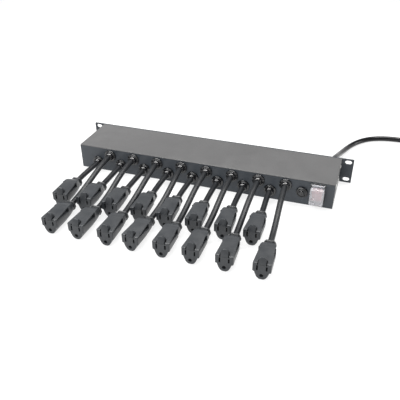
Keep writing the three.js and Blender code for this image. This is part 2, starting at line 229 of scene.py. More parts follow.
def mouldedVinyl(name, colour, roughness):
    # spark-eroded mould grain with a slightly greasy, uneven sheen
    vinyl = newMaterial(name, colour, roughness, Specular_IOR_Level=0.5 if roughness < 0.6 else 0.15)
    grain = noisy(vinyl, 1400, detail=3)
    sheen = ramp(vinyl, noisy(vinyl, 55), roughness - 0.07, roughness + 0.07)
    shade = ramp(vinyl, noisy(vinyl, 18), tuple(c * 0.85 for c in colour), tuple(c * 1.15 for c in colour))
    return finishWith(vinyl, shade, sheen, bump(vinyl, grain, 0.22, 0.00012))


def cordJacket(name, colour, roughness):
    # extruded jacket: fine draw lines along the cord over the soft spiral of the cores beneath it
    jacket = newMaterial(name, colour, roughness, Specular_IOR_Level=0.32)
    lines = noisy(jacket, 1.0, stretch=(60, 9, 1), source="UV", detail=3)
    coordinates = addNode(jacket, "TexCoord")
    turned = addNode(jacket, "Mapping", Scale=(3, 22, 1))
    wave = addNode(jacket, "TexWave", Scale=1.0, wave_type="BANDS", bands_direction="DIAGONAL")
    joinNodes(jacket, (coordinates.outputs["UV"], turned.inputs["Vector"]),
              (turned.outputs["Vector"], wave.inputs["Vector"]))
    shade = ramp(jacket, lines, tuple(c * 0.85 for c in colour), tuple(c * 1.2 for c in colour))
    gloss = ramp(jacket, noisy(jacket, 45), roughness - 0.06, roughness + 0.08)
    normal = bump(jacket, lines, 0.15, 0.0001)
    return finishWith(jacket, shade, gloss, bump(jacket, wave.outputs["Fac"], 0.05, 0.0003, normal))


def glossyNylon(name, colour=(0.006, 0.006, 0.007), roughness=0.16):
    nylon = newMaterial(name, colour, roughness, Specular_IOR_Level=0.75)
    gloss = ramp(nylon, noisy(nylon, 90), roughness - 0.04, roughness + 0.07)
    shade = ramp(nylon, noisy(nylon, 30), tuple(c * 0.8 for c in colour), tuple(c * 1.3 for c in colour))
    return finishWith(nylon, shade, gloss, bump(nylon, noisy(nylon, 350), 0.05, 0.0001))


def platedMetal(name, colour, roughness, brushed=(1, 1, 1)):
    metal = newMaterial(name, colour, roughness, 1.0)
    streaks = noisy(metal, 500, stretch=brushed)
    gloss = ramp(metal, streaks, roughness - 0.08, roughness + 0.1)
    shade = ramp(metal, noisy(metal, 70), tuple(c * 0.85 for c in colour), colour)
    return finishWith(metal, shade, gloss, bump(metal, streaks, 0.08, 0.00005))


def clearCover(name):
    clear = newMaterial(name, (0.76, 0.76, 0.79), 0.22, Transmission_Weight=0.68, IOR=1.45)
    gloss = ramp(clear, noisy(clear, 60), 0.2, 0.32)
    return finishWith(clear, None, gloss, bump(clear, noisy(clear, 240), 0.04, 0.0002))


def litLens(name, colour):
    lens = newMaterial(name, colour, 0.25, Transmission_Weight=0.15, Emission_Strength=0.3)
    shader = lens.node_tree.nodes["Principled BSDF"]
    glow = ramp(lens, noisy(lens, 70), tuple(c * 0.6 for c in colour), colour)
    joinNodes(lens, (glow, shader.inputs["Emission Color"]))
    return finishWith(lens, glow, ramp(lens, noisy(lens, 120), 0.2, 0.34))


materials = {
    "coverPaint": powderCoat("coverPaint", (0.077, 0.0765, 0.0775), 0.05),
    # painted shade: a darker, bluer copy of the cover's powder coat, standing in for the shade on the outlet
    # panel's upright front
    "panelPaint": powderCoat("panelPaint", (0.035, 0.041, 0.049), 0.07),
    # painted shade: a still darker copy of the same powder coat, standing in for the shade on the rack panel's
    # upright face; the parts inside wear it too
    "earPaint": powderCoat("earPaint", (0.026, 0.032, 0.04), 0.08),
    "vinyl": mouldedVinyl("vinyl", (0.025, 0.0275, 0.031), 0.36),
    "plugVinyl": mouldedVinyl("plugVinyl", (0.03, 0.031, 0.033), 0.45),
    "jacket": cordJacket("jacket", (0.013, 0.014, 0.016), 0.36),
    "mainsJacket": cordJacket("mainsJacket", (0.006, 0.006, 0.007), 0.16),
    "nylon": glossyNylon("nylon", roughness=0.08),
    "satinNylon": glossyNylon("satinNylon", (0.022, 0.023, 0.025), 0.34),
    "clear": clearCover("clear"),
    "lens": litLens("lens", (0.6, 0.17, 0.16)),
    "zinc": platedMetal("zinc", (0.62, 0.62, 0.6), 0.32),
    "brass": platedMetal("brass", (0.78, 0.6, 0.32), 0.28, (1, 6, 1)),
    "nickel": platedMetal("nickel", (0.7, 0.68, 0.64), 0.22, (1, 1, 5)),
    "copper": platedMetal("copper", (0.72, 0.38, 0.22), 0.35, (1, 8, 8)),
    "phenolic": mouldedVinyl("phenolic", (0.2, 0.085, 0.04), 0.5),
    "wire": mouldedVinyl("wire", (0.02, 0.02, 0.02), 0.4),
    "blackZinc": platedMetal("blackZinc", (0.05, 0.052, 0.056), 0.34),
    "strap": mouldedVinyl("strap", (0.012, 0.012, 0.013), 0.7),
    # painted shade: near-black for the walls of the moat round the thumb tab, standing in for the shade there
    "moatShadeBlack": mouldedVinyl("moatShadeBlack", (0.004, 0.004, 0.005), 0.8),
}
print("materials:", len(materials))


def loopFaces(rows, across, closed=False):
    # four-cornered faces between neighbouring rings of a grid whose rings are closed
    index = np.arange(rows * across).reshape(rows, across)
    near = index if closed else index[:-1]
    far = np.roll(index, -1, 0) if closed else index[1:]
    return np.stack([near, np.roll(near, -1, 1), np.roll(far, -1, 1), far], -1).reshape(-1, 4)


def makePiece(name, points, faces, material, body="strip", sharp=32, recalculate=True, uv=None, picks=None):
    # picks gives each face's place in a list of materials, where a piece has more than one
    mesh = bpy.data.meshes.new(name)
    mesh.from_pydata(np.asarray(points).tolist(), [], [list(map(int, face)) for face in faces])
    if uv is not None:
        layer = mesh.uv_layers.new(name="UVMap")
        layer.data.foreach_set("uv", np.asarray(uv, np.float32).ravel())
    if recalculate:
        work = bmesh.new()
        work.from_mesh(mesh)
        bmesh.ops.recalc_face_normals(work, faces=work.faces)
        work.to_mesh(mesh)
        work.free()
    mesh.shade_smooth()
    mesh.set_sharp_from_angle(angle=math.radians(sharp))
    for finish in [material] if isinstance(material, str) else material:
        mesh.materials.append(materials[finish])
    if picks is not None:
        mesh.polygons.foreach_set("material_index", np.asarray(picks, np.int32))
    piece = bpy.data.objects.new(name, mesh)
    bpy.context.collection.objects.link(piece)
    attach(piece, body)
    return piece


def joinShapes(*shapes):
    # several (points, faces) pairs as one
    points, faces, count = [], [], 0
    for shapePoints, shapeFaces in shapes:
        points.append(np.asarray(shapePoints))
        faces.extend([[int(i) + count for i in face] for face in shapeFaces])
        count += len(shapePoints)
    return np.concatenate(points), faces


def stack(rings, wrap=False):
    # rings (rings, around, 3) joined into a closed body, with a flat face over the first and the last
    rows, across, _ = rings.shape
    faces = loopFaces(rows, across, wrap).tolist()
    if not wrap:
        faces.append(list(range(across))[::-1])
        faces.append(list(range((rows - 1) * across, rows * across)))
    return rings.reshape(-1, 3), faces


def softened(corners, steps=4):
    # corners of [x, y, reach]: each becomes a parabola that starts and ends reach away from it;
    # works on one outline or on a whole pile of them
    corners = np.asarray(corners, float)
    place, reach = corners[..., :2], corners[..., 2:3]
    before, after = place - np.roll(place, 1, -2), np.roll(place, -1, -2) - place
    longBefore, longAfter = (np.linalg.norm(edge, axis=-1, keepdims=True) + 1e-9 for edge in (before, after))
    reach = np.minimum(reach, 0.49 * np.minimum(longBefore, longAfter))
    s = np.linspace(0, 1, steps)[:, None]
    curve = place[..., None, :] - (1 - s) ** 2 * (reach * before / longBefore)[..., None, :] \
        + s ** 2 * (reach * after / longAfter)[..., None, :]
    return curve.reshape(*corners.shape[:-2], -1, 2)


def roundedRect(x, y, width, height, radius, steps=6):
    # a rectangle's outline with quarter circles at its corners
    radius = min(radius, width / 2, height / 2)
    turn = np.linspace(0, np.pi / 2, steps + 1)
    corners = [(1, 1, 0), (-1, 1, np.pi / 2), (-1, -1, np.pi), (1, -1, 3 * np.pi / 2)]
    return np.concatenate([
        np.stack([
            x + sx * (width / 2 - radius) + radius * np.cos(turn + start),
            y + sy * (height / 2 - radius) + radius * np.sin(turn + start),
        ], -1)
        for sx, sy, start in corners
    ])


def circle(x, y, radius, steps=32):
    turn = np.linspace(0, 2 * np.pi, steps, endpoint=False)
    return np.stack([x + radius * np.cos(turn), y + radius * np.sin(turn)], -1)


def inset(loop, distance):
    # a closed outline moved inwards, each point along the mean of its two edges' normals
    along = np.roll(loop, -1, 0) - loop
    keep = np.linalg.norm(along, axis=1) > 1e-9
    along[~keep] = np.roll(along, 1, 0)[~keep]
    along /= np.linalg.norm(along, axis=1, keepdims=True)
    normal = np.stack([-along[:, 1], along[:, 0]], -1)
    mean = normal + np.roll(normal, 1, 0)
    mean /= np.linalg.norm(mean, axis=1, keepdims=True)
    reach = 1 / np.clip((mean * normal).sum(1), 0.5, 1)
    return loop + mean * (distance * reach)[:, None]


def placed(flat, depth, plane):
    # flat points at a depth: plane names the two directions that the outline lies in
    depth = np.full(len(flat), depth)
    columns = {"xz": (flat[:, 0], depth, flat[:, 1]), "yz": (depth, flat[:, 0], flat[:, 1]),
               "xy": (flat[:, 0], flat[:, 1], depth)}[plane]
    return np.stack(columns, -1)


def plate(outline, holes, low, high, edge, plane="xz", steps=3):
    # a flat plate through holes, its rims rounded by quarter circles of radius edge
    turn = np.linspace(0, np.pi / 2, steps + 1)
    levels = [(edge * (1 - math.sin(a)), low + edge * (1 - math.cos(a))) for a in turn]
    levels += [(inward, high + low - depth) for inward, depth in reversed(levels)]
    loops = [(outline, 1)] + [(hole, -1) for hole in holes]
    points, faces, count = [], [], 0
    ends = [[], []]
    for loop, way in loops:
        rings = np.stack([placed(inset(loop, way * inward), depth, plane) for inward, depth in levels])
        faces += (loopFaces(len(levels), len(loop)) + count).tolist()
        points.append(rings.reshape(-1, 3))
        ends[0].append((inset(loop, way * edge), np.arange(len(loop)) + count))
        last = count + (len(levels) - 1) * len(loop)
        ends[1].append((inset(loop, way * edge), np.arange(len(loop)) + last))
        count += rings.shape[0] * rings.shape[1]
    for end in ends:
        index = np.concatenate([numbers for _, numbers in end])
        triangles = tessellate_polygon([[(a, b, 0) for a, b in flat.tolist()] for flat, _ in end])
        faces += [[int(index[i]) for i in triangle] for triangle in triangles]
    return np.concatenate(points), faces


def spun(profile, centre, axis="y", sides=40, wrap=False):
    # a profile of [radius, place along the axis] turned about the axis through centre
    profile = np.asarray(profile, float)
    turn = np.linspace(0, 2 * np.pi, sides, endpoint=False)
    radius = np.maximum(profile[:, 0], 2e-5)[:, None]
    a, b = radius * np.cos(turn), radius * np.sin(turn)
    along = np.repeat(profile[:, 1:2], sides, 1)
    columns = {"y": (a, along, b), "x": (along, a, b), "z": (a, b, along)}[axis]
    return stack(np.stack(columns, -1) + np.asarray(centre), wrap)


def smoothstep(x):
    x = np.clip(x, 0, 1)
    return x * x * (3 - 2 * x)


def sweep(path, radius, sides=20):
    # a round tube about a path, its section carried along without twisting and its ends rounded off
    path = np.asarray(path, float)
    tangent = np.gradient(path, axis=0)
    tangent /= np.linalg.norm(tangent, axis=1, keepdims=True)
    side = np.cross(tangent[0], [0, 0, 1.0])
    side /= np.linalg.norm(side)
    sides3 = [side]
    for direction in tangent[1:]:
        side = side - direction * (side @ direction)
        side /= np.linalg.norm(side)
        sides3.append(side)
    across = np.array(sides3)
    upward = np.cross(across, tangent)
    turn = np.linspace(0, 2 * np.pi, sides, endpoint=False)
    rings = path[:, None] + radius * (
        across[:, None] * np.cos(turn)[:, None] + upward[:, None] * np.sin(turn)[:, None])
    small = 0.85
    first = path[0] - tangent[0] * radius * 0.12 + (rings[0] - path[0]) * small
    last = path[-1] + tangent[-1] * radius * 0.12 + (rings[-1] - path[-1]) * small
    rings = np.concatenate([first[None], rings, last[None]])
    points, faces = stack(rings)
    rows = len(rings)
    length = np.concatenate([[0], np.cumsum(np.linalg.norm(np.diff(rings.mean(1), axis=0), axis=1))])
    u = np.arange(sides) / sides
    v0, v1 = np.repeat(length[:-1], sides), np.repeat(length[1:], sides)
    u0 = np.tile(u, rows - 1)
    uv = np.stack([np.stack([u0, v0 * 10], -1), np.stack([u0 + 1 / sides, v0 * 10], -1),
                   np.stack([u0 + 1 / sides, v1 * 10], -1), np.stack([u0, v1 * 10], -1)], 1).reshape(-1, 2)
    uv = np.concatenate([uv, np.zeros((2 * sides, 2))])
    return points, faces, uv


def bezier(a, b, c, d, steps):
    t = np.linspace(0, 1, steps)[:, None]
    return (1 - t) ** 3 * a + 3 * (1 - t) ** 2 * t * b + 3 * (1 - t) * t * t * c + t ** 3 * d


def smoothPath(points, spacing):
    # a Catmull-Rom curve through the points, resampled at an even spacing
    points = np.asarray(points, float)
    whole = np.concatenate([[2 * points[0] - points[1]], points, [2 * points[-1] - points[-2]]])
    t = np.linspace(0, 1, 24, endpoint=False)[:, None]
    parts = []
    for i in range(len(points) - 1):
        p0, p1, p2, p3 = whole[i:i + 4]
        parts.append(0.5 * (2 * p1 + (p2 - p0) * t + (2 * p0 - 5 * p1 + 4 * p2 - p3) * t ** 2
                            + (3 * p1 - p0 - 3 * p2 + p3) * t ** 3))
    fine = np.concatenate(parts + [points[-1:]])
    return evenly(fine, spacing)


def evenly(path, spacing):
    length = np.concatenate([[0], np.cumsum(np.linalg.norm(np.diff(path, axis=0), axis=1))])
    wanted = np.linspace(0, length[-1], max(3, int(round(length[-1] / spacing)) + 1))
    return np.stack([np.interp(wanted, length, path[:, k]) for k in range(3)], -1)


def pathLength(path):
    return float(np.linalg.norm(np.diff(path, axis=0), axis=1).sum())


outletRows = {
    "pitch": 44.1 * mm,
    "cordDiameter": 9 * mm,
    "nose": 10 * mm,  # how far a bushing stands out of the panel
    "connectorLength": 61 * mm,
    "connectorAxis": 13.5 * mm,
    "long": {
        "first": -163.5 * mm, "height": 31 * mm, "reach": 197 * mm,
        "places": [  # sideways place of the face, turn in degrees, bow of the cord
            (-162.5, 0.8, 1), (-118.8, -0.6, -1), (-71.8, 1.6, 3), (-33.2, -3, 6),
            (13.2, 0.6, -1.5), (55.8, -0.6, -1), (103.4, 2, -1), (154, 2.1, 2),
        ],
    },
    "short": {
        "first": -187.7 * mm, "height": 15.8 * mm, "reach": 131 * mm,
        "places": [
            (-185.2, 5, 0), (-143.6, 1, 0), (-99.8, 1.2, 0), (-51, 4, 0),
            (-8.9, 3, 0), (36.2, 3, 0), (80.8, 3, 0), (123.6, 0.4, 0),
        ],
    },
}


def pigtailRoute(row, i):
    # straight out of the bushing, level into the connector's collar
    facts = outletRows[row]
    x, turn, bow = facts["places"][i]
    turn = math.radians(turn)
    along = outletRows["connectorLength"] - 2 * mm
    start = np.array([
        facts["first"] + i * outletRows["pitch"], frontY - outletRows["nose"] + 3 * mm, facts["height"]])
    end = np.array([
        x * mm - math.sin(turn) * along, frontY - facts["reach"] + math.cos(turn) * along,
        outletRows["connectorAxis"]])
    hold = np.linalg.norm(end - start) * 0.4
    leave = start + np.array([bow * mm, -hold, 0])
    arrive = end + hold * np.array([-math.sin(turn), math.cos(turn), 0])
    return evenly(bezier(start, leave, arrive, end, 60), 3 * mm)


mainsLead = {
    "diameter": 9.5 * mm,
    "coilCentre": (400 * mm, 175 * mm),
    "coilPitch": 9.9 * mm,
    "innerTurn": 40.65 * mm,
    "route": [
        [206, 77.1, 21], [206.9, 88, 20], [208.6, 99, 17.6], [210.6, 112, 14.2], [213.2, 126, 10.9],
        [216.6, 141, 8.2], [221, 156.5, 6.3], [227, 173, 5.3], [235, 189, 4.9], [245, 203, 4.8],
        [257, 214.5, 4.8], [271, 223, 4.8], [287, 228.6, 4.8], [304, 231.3, 4.8], [322, 232, 4.8],
        [345.8, 232, 4.8],
    ],
    "tail": [[470.3, 138, 15.7], [470.3, 131.5, 13.9], [470.3, 125.5, 12.8], [470.3, 116, 12.4]],
    "turns": [(3, 0), (2, 0), (1, 0), (0, 0), (0, 1), (1, 1), (2, 1), (3, 1), (0, 2), (1, 2), (2, 2), (3, 2)],
}


def coilTurns():
    # each turn holds its column and layer, and moves to the next one's over its last quarter:
    # first up, then across, so that it climbs over the turns beneath
    turns = np.array(mainsLead["turns"] + [mainsLead["turns"][-1]], float)
    steps = 60
    t = np.arange(len(turns[:-1]) * steps + steps // 4 + 1) / steps
    k = np.minimum(t.astype(int), len(turns) - 2)
    within = t - k
    column = turns[k, 0] + (turns[k + 1, 0] - turns[k, 0]) * smoothstep((within - 0.6) / 0.4)
    layer = turns[k, 1] + (turns[k + 1, 1] - turns[k, 1]) * smoothstep((within - 0.66) / 0.2)
    radius = mainsLead["innerTurn"] + column * mainsLead["coilPitch"]
    angle = np.pi / 2 - 2 * np.pi * t
    x, y = mainsLead["coilCentre"]
    z = mainsLead["diameter"] / 2 + 0.05 * mm + layer * mainsLead["coilPitch"]
    return np.stack([x + radius * np.cos(angle), y + radius * np.sin(angle), z], -1)


def mainsRoute():
    route = np.array(mainsLead["route"]) * mm
    route = np.concatenate([[[206 * mm, 74 * mm, 21 * mm]], route])
    coil = coilTurns()
    lead = evenly(smoothPath(np.concatenate([route, coil[:3]]), 4 * mm), 4 * mm)
    tail = np.array(mainsLead["tail"]) * mm
    drop = np.concatenate([coil[-3:], tail])
    drop = smoothPath(drop, 4 * mm)
    return np.concatenate([lead[:-3], coil[3:-3], drop[1:]])


makeCamera()
makeStage()

cords = {}
for row in ("long", "short"):
    for i in range(8):
        path = pigtailRoute(row, i)
        name = f"{row}_outlet_cord_{i + 1}"
        points, faces, uv = sweep(path, outletRows["cordDiameter"] / 2)
        cords[row, i] = (makePiece(name, points, faces, "jacket", recalculate=False, uv=uv), path)
        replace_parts(cords[row, i][0], f"{row}_cord_{i + 1}")

mainsPath = mainsRoute()
points, faces, uv = sweep(mainsPath, mainsLead["diameter"] / 2)
mainsCord = makePiece("mains_lead", points, faces, "mainsJacket", recalculate=False, uv=uv)
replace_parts(mainsCord, "mains_cord", "mains_coil", "mains_cord_tail")
print("cords:", len(cords) + 1, "mains lead", round(pathLength(mainsPath), 3), "m")


def block(low, high, edge):
    # a box from its low to its high corner, with its edges rounded by quarter circles
    low, high = np.asarray(low, float), np.asarray(high, float)
    middle, size = (low + high) / 2, high - low
    outline = roundedRect(middle[0], middle[2], size[0], size[2], max(edge, 1e-5) * 1.2, 3)
    return plate(outline, [], low[1], high[1], edge)


def cutAway(body, cutter):
    # body less cutter, both as (points, faces); the result's faces keep which body face they came from
    made = []
    for points, faces in (body, cutter):
        mesh = bpy.data.meshes.new("rough")
        mesh.from_pydata(np.asarray(points).tolist(), [], [list(map(int, face)) for face in faces])
        work = bmesh.new()
        work.from_mesh(mesh)
        bmesh.ops.recalc_face_normals(work, faces=work.faces)
        work.to_mesh(mesh)
        work.free()
        rough = bpy.data.objects.new("rough", mesh)
        bpy.context.collection.objects.link(rough)
        made.append(rough)
    cut = made[0].modifiers.new("cut", "BOOLEAN")
    cut.object, cut.operation, cut.solver = made[1], "DIFFERENCE", "EXACT"
    whole = made[0].evaluated_get(bpy.context.evaluated_depsgraph_get()).to_mesh()
    points = np.empty(len(whole.vertices) * 3)
    whole.vertices.foreach_get("co", points)
    faces = [list(face.vertices) for face in whole.polygons]
    for rough in made:
        mesh = rough.data
        bpy.data.objects.remove(rough)
        bpy.data.meshes.remove(mesh)
    return points.reshape(-1, 3), faces


chassis = {"sheet": 1.2 * mm, "gap": 0.3 * mm, "rim": 0.18 * mm, "cornerBend": 2.2 * mm}
sheet = chassis["sheet"]
roofZ = coverLow[2]
wallTop = roofZ - chassis["gap"]


def makeCover():
    # the cover's cross-section: a flat sheet whose near edge is rolled over by a quarter circle
    turn = np.linspace(0, np.pi / 2, 9)
    roll = np.stack([frontY + sheet - sheet * np.cos(turn), roofZ + sheet * np.sin(turn)], -1)
    far = coverHigh[1]
    section = np.concatenate([
        [[frontY + sheet * 0.2, roofZ]], roll,
        [[far - 0.2 * mm, topZ], [far, topZ - 0.2 * mm], [far, roofZ]],
    ])[::-1]
    points, faces = plate(section, [], -sideX, sideX, 0.12 * mm, "yz", 2)
    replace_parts(makePiece("top_sheet", points, faces, "coverPaint"), "top_cover")


def makeTray():
    # a sheet bent up into two walls: outer outline forwards, inner outline back
    low, high = np.array(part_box("chassis_tray"))
    outerBend, innerBend = chassis["cornerBend"], chassis["cornerBend"] - sheet
    x = sideX
    turn = np.linspace(0, np.pi / 2, 7)[:, None]

    def bend(side, radius):
        centre = np.array([side * (x - outerBend), outerBend])
        return centre + radius * np.concatenate([side * np.sin(turn), -np.cos(turn)], 1)

    outline = np.concatenate([
        [[-x, wallTop]], bend(-1, outerBend)[::-1], bend(1, outerBend), [[x, wallTop]],
        [[x - sheet, wallTop]], bend(1, innerBend)[::-1], bend(-1, innerBend),
        [[-x + sheet, wallTop]],
    ])
    points, faces = plate(outline, [], low[1], high[1], 0.15 * mm, "xz", 2)
    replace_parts(makePiece("bent_tray", points, faces, "coverPaint"), "chassis_tray")


screw = {
    "radius": 3.1 * mm, "rise": 0.85 * mm,
    "crossLength": 2.1 * mm, "crossWidth": 0.42 * mm, "depth": 0.9 * mm,
}


def screwHead(place, axis):
    # a low domed head with a cross cut into it; axis is the outward direction, -x, +x or +y
    r, rise = screw["radius"], screw["rise"]
    turn = np.linspace(0, np.pi / 2, 7)
    profile = np.stack([r * np.cos(turn) ** 0.8, rise * np.sin(turn) ** 1.2], -1)
    profile = np.concatenate([[[r * 0.9, -0.4 * mm], [r, -0.1 * mm]], profile])
    body = spun(profile, (0, 0, 0), "z", 28)
    arm, half = screw["crossLength"], screw["crossWidth"]
    top, bottom = rise + 1 * mm, rise - screw["depth"] * 0.75
    cross = np.array([
        [arm, half], [half, half], [half, arm], [-half, arm], [-half, half], [-arm, half],
        [-arm, -half], [-half, -half], [-half, -arm], [half, -arm], [half, -half], [arm, -half],
    ])
    cutter = stack(np.stack([placed(cross, bottom, "xy"), placed(cross, top, "xy")]))
    points, faces = cutAway(body, cutter)
    x, y, z = points.T
    way = {"-x": (-z, x, y), "+x": (z, y, x), "+y": (x, z, y)}[axis]
    return np.stack(way, -1) + np.asarray(place), faces


def makeScrews():
    for end, axis in ((-1, "-x"), (1, "+x")):
        heads = [screwHead((end * sideX, y, z), axis) for y in (-34 * mm, 32 * mm) for z in (9 * mm, 35 * mm)]
        points, faces = joinShapes(*heads)
        makePiece("left_screws" if end < 0 else "right_screws", points, faces, "zinc")
    heads = [screwHead((x * mm, backY, z * mm), "+y") for x in (-205, -70, 70, 180) for z in (6.5, 37)]
    points, faces = joinShapes(*heads)
    makePiece("panel_screws", points, faces, "blackZinc")


rackPlate = {
    "slotX": 232.55 * mm,
    "slotRise": 15.875 * mm,
    "slot": (11 * mm, 7 * mm),
    "entry": 8.3 * mm,
    "corner": 1.2 * mm,
}


def makeRackPlate():
    middle = (rackLow[2] + rackHigh[2]) / 2
    width, height = rackHigh[0] - rackLow[0], rackHigh[2] - rackLow[2]
    outline = roundedRect(0, middle, width, height, rackPlate["corner"], 4)
    slots = [
        roundedRect(side * rackPlate["slotX"], middle + rise * rackPlate["slotRise"],
                    *rackPlate["slot"], 1, 8)
        for side in (-1, 1) for rise in (-1, 1)
    ]
    holes = slots + [circle(gland["x"], gland["z"], rackPlate["entry"])]
    points, faces = plate(outline, holes, panelY, backY, 0.3 * mm)
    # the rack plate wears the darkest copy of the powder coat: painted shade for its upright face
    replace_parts(makePiece("rack_plate", points, faces, "earPaint"), "rack_panel")


bushing = {"neck": 7.5 * mm, "flange": 10.2 * mm, "inside": 10 * mm, "bore": 4.6 * mm, "split": 0.35 * mm}
breaker = {
    "x": 171.8 * mm, "z": 22.5 * mm, "neck": 5.6 * mm, "bore": 4.2 * mm, "nut": 9.1 * mm, "button": 3.9 * mm,
}
switch = {"x": 195.8 * mm, "z": 23 * mm}
outletFlat = [
    (row, i, outletRows[row]["first"] + i * outletRows["pitch"], outletRows[row]["height"])
    for row in ("long", "short") for i in range(8)
]


def makeOutletPlate():
    middle = wallTop / 2
    outline = roundedRect(0, middle, 2 * sideX, wallTop, 0.6 * mm, 3)
    holes = [circle(x, z, 7.6 * mm, 28) for _, _, x, z in outletFlat]
    holes.append(circle(breaker["x"], breaker["z"], 6 * mm))
    holes.append(roundedRect(switch["x"], switch["z"], 20.4 * mm, 27.6 * mm, 0.8 * mm, 3))
    points, faces = plate(outline, holes, frontY, frontY + sheet, chassis["rim"])
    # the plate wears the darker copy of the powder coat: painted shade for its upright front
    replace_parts(makePiece("outlet_plate", points, faces, "panelPaint"), "outlet_panel")


def makeBushings():
    # a ring section turned about the cord: bore, domed nose, neck, flange and the neck in the panel,
    # with two shallow splits where its halves meet
    r, f = bushing["neck"], bushing["flange"]
    nose = frontY - outletRows["nose"]
    turn = np.linspace(0, np.pi / 2, 9)
    dome = np.stack([5.1 * mm + (r - 5.1 * mm) * np.sin(turn), nose + 5.6 * mm * (1 - np.cos(turn))], -1)
    profile = np.concatenate([
        [[bushing["bore"], nose + 0.5 * mm]], dome,
        [[r, frontY - 3.4 * mm], [r + 0.5 * mm, frontY - 2.9 * mm], [f - 0.7 * mm, frontY - 2.6 * mm],
         [f - 0.2 * mm, frontY - 2.2 * mm], [f, frontY - 1.6 * mm], [f, frontY - 0.3 * mm],
         [f - 0.3 * mm, frontY - 0.02 * mm], [r, frontY - 0.02 * mm],
         [r, frontY + bushing["inside"]], [bushing["bore"], frontY + bushing["inside"]]],
    ])
    sides = 56
    around = np.linspace(0, 2 * np.pi, sides, endpoint=False)
    nearSplit = np.exp(-((np.abs(np.cos(around)) - 1) / 0.004) ** 2)
    outside = (profile[:, 0] > bushing["bore"] + 0.1 * mm)[:, None]
    radius = profile[:, :1] - outside * bushing["split"] * nearSplit
    along = np.repeat(profile[:, 1:2], sides, 1)
    ring = np.stack([radius * np.cos(around), along, radius * np.sin(around)], -1)
    for row, i, x, z in outletFlat:
        points, faces = stack(ring + np.array([x, 0, z]), wrap=True)
        piece = makePiece(f"{row}_bushing_{i + 1}", points, faces, "nylon", sharp=40)
        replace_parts(piece, "outlet_panel")


connector = {
    "side": 12.6,  # half the width over the wings
    "lower": [  # half of the outline, from the underside up to the wings: sideways, height, rounding
        (2.8, 0.3, 1.8), (6.0, 2.6, 1.8), (8.3, 6.8, 1.6), (10.2, 12.5, 0.6), (12.6, 13.3, 0.35),
    ],
    "top": 26.5,
    "axis": 13.5,
    "recess": {"from": 2.5, "to": 35.4, "high": 24.2, "low": 19.4, "taper": 1.9, "depth": 1.9},
    "stations": [  # along, width, how round
        (0, 1, 0), (30, 0.985, 0), (35.8, 0.98, 0), (36.9, 0.885, 0), (40, 0.88, 0.06), (48, 0.84, 0.4),
        (53, 0.8, 0.8), (56.4, 0.76, 1), (61, 0.74, 1),
    ],
    "slotX": 6.35, "slotZ": 19, "slotHeights": (8.4, 7), "slotWidth": 2.3, "groundZ": 7, "groundRadius": 2.7,
    "tab": {"half": 5.3, "high": 8, "lean": 3.4, "back": 12.5, "gap": 1.3, "moat": 3},
    # painted shade: moat walls within these distances and depths take the near-black finish; collar is where the
    # collar's satin nylon starts
    "black": {"from": 0.2, "to": 12.2, "shallow": 0.12, "deep": 3.1, "collar": 56.7},
}


def connectorBody():
    # outlines piled along the body: each is the moulded outline there, blended into the cord's circle
    y = np.unique(np.concatenate([
        [0, 0.12, 0.4, 0.8], np.linspace(3.0, 5.0, 6), np.arange(7, 35, 3), np.linspace(34.4, 38, 15),
        np.arange(40, 56, 1.25), np.linspace(56, 61, 22),
    ]))
    recess, side, top = connector["recess"], connector["side"], connector["top"]
    along = np.clip((y - recess["from"]) / (recess["to"] - recess["from"]), 0, 1)
    inside = smoothstep((y - recess["from"]) / 1.2) * smoothstep((recess["to"] + 0.6 - y) / 0.6)
    taper = recess["taper"] * along * inside
    depth = taper + recess["depth"] * inside
    ledge = recess["high"] + (recess["low"] - recess["high"]) * along
    ones = np.ones_like(y)
    upper = np.stack([
        np.stack([side * ones, ledge, 0.5 * ones], -1),
        np.stack([side - depth, ledge + 0.15, 0.15 * ones], -1),
        np.stack([side - depth, 25.0 * ones, 0.1 * ones], -1),
        np.stack([side - taper, 25.2 * ones, 0.2 * ones], -1),
        np.stack([side - 0.1 - taper, top * ones, 0.9 * ones], -1),
    ], 1)
    lower = np.broadcast_to(np.array(connector["lower"]), (len(y), len(connector["lower"]), 3))
    half = np.concatenate([lower, upper], 1)
    outline = softened(np.concatenate([half, (half * [-1, 1, 1])[:, ::-1]], 1), 4)
    table = np.array(connector["stations"])
    width, roundness = (np.interp(y, table[:, 0], table[:, k])[:, None] for k in (1, 2))
    x, z = outline[..., 0], outline[..., 1] - connector["axis"]
    angle = np.arctan2(z, x * width)
    blend = smoothstep(roundness)
    # past the body comes a narrow neck and then the collar's rounded rim
    collar = np.interp(y, [0, 44, 50, 56.2, 56.8, 57.3, 57.6, 58.0, 58.6, 60.0, 60.6, 61],
                       [12.5, 11.6, 9.9, 8.1, 7.4, 7.4, 8.4, 9.1, 9.4, 9.4, 9.0, 7.9])[:, None]
    edge = 0.7 * (1 - np.sqrt(np.clip(1 - (1 - np.clip(y / 0.8, 0, 1)) ** 2, 0, 1)))[:, None]
    shrink = 1 - edge / 12
    sideways = (x * width * (1 - blend) + np.cos(angle) * collar * blend) * shrink
    upwards = (z * (1 - blend) + np.sin(angle) * collar * blend) * shrink
    rings = np.stack([sideways, np.repeat(y[:, None], sideways.shape[1], 1), upwards + connector["axis"]], -1)
    return stack(rings * mm)


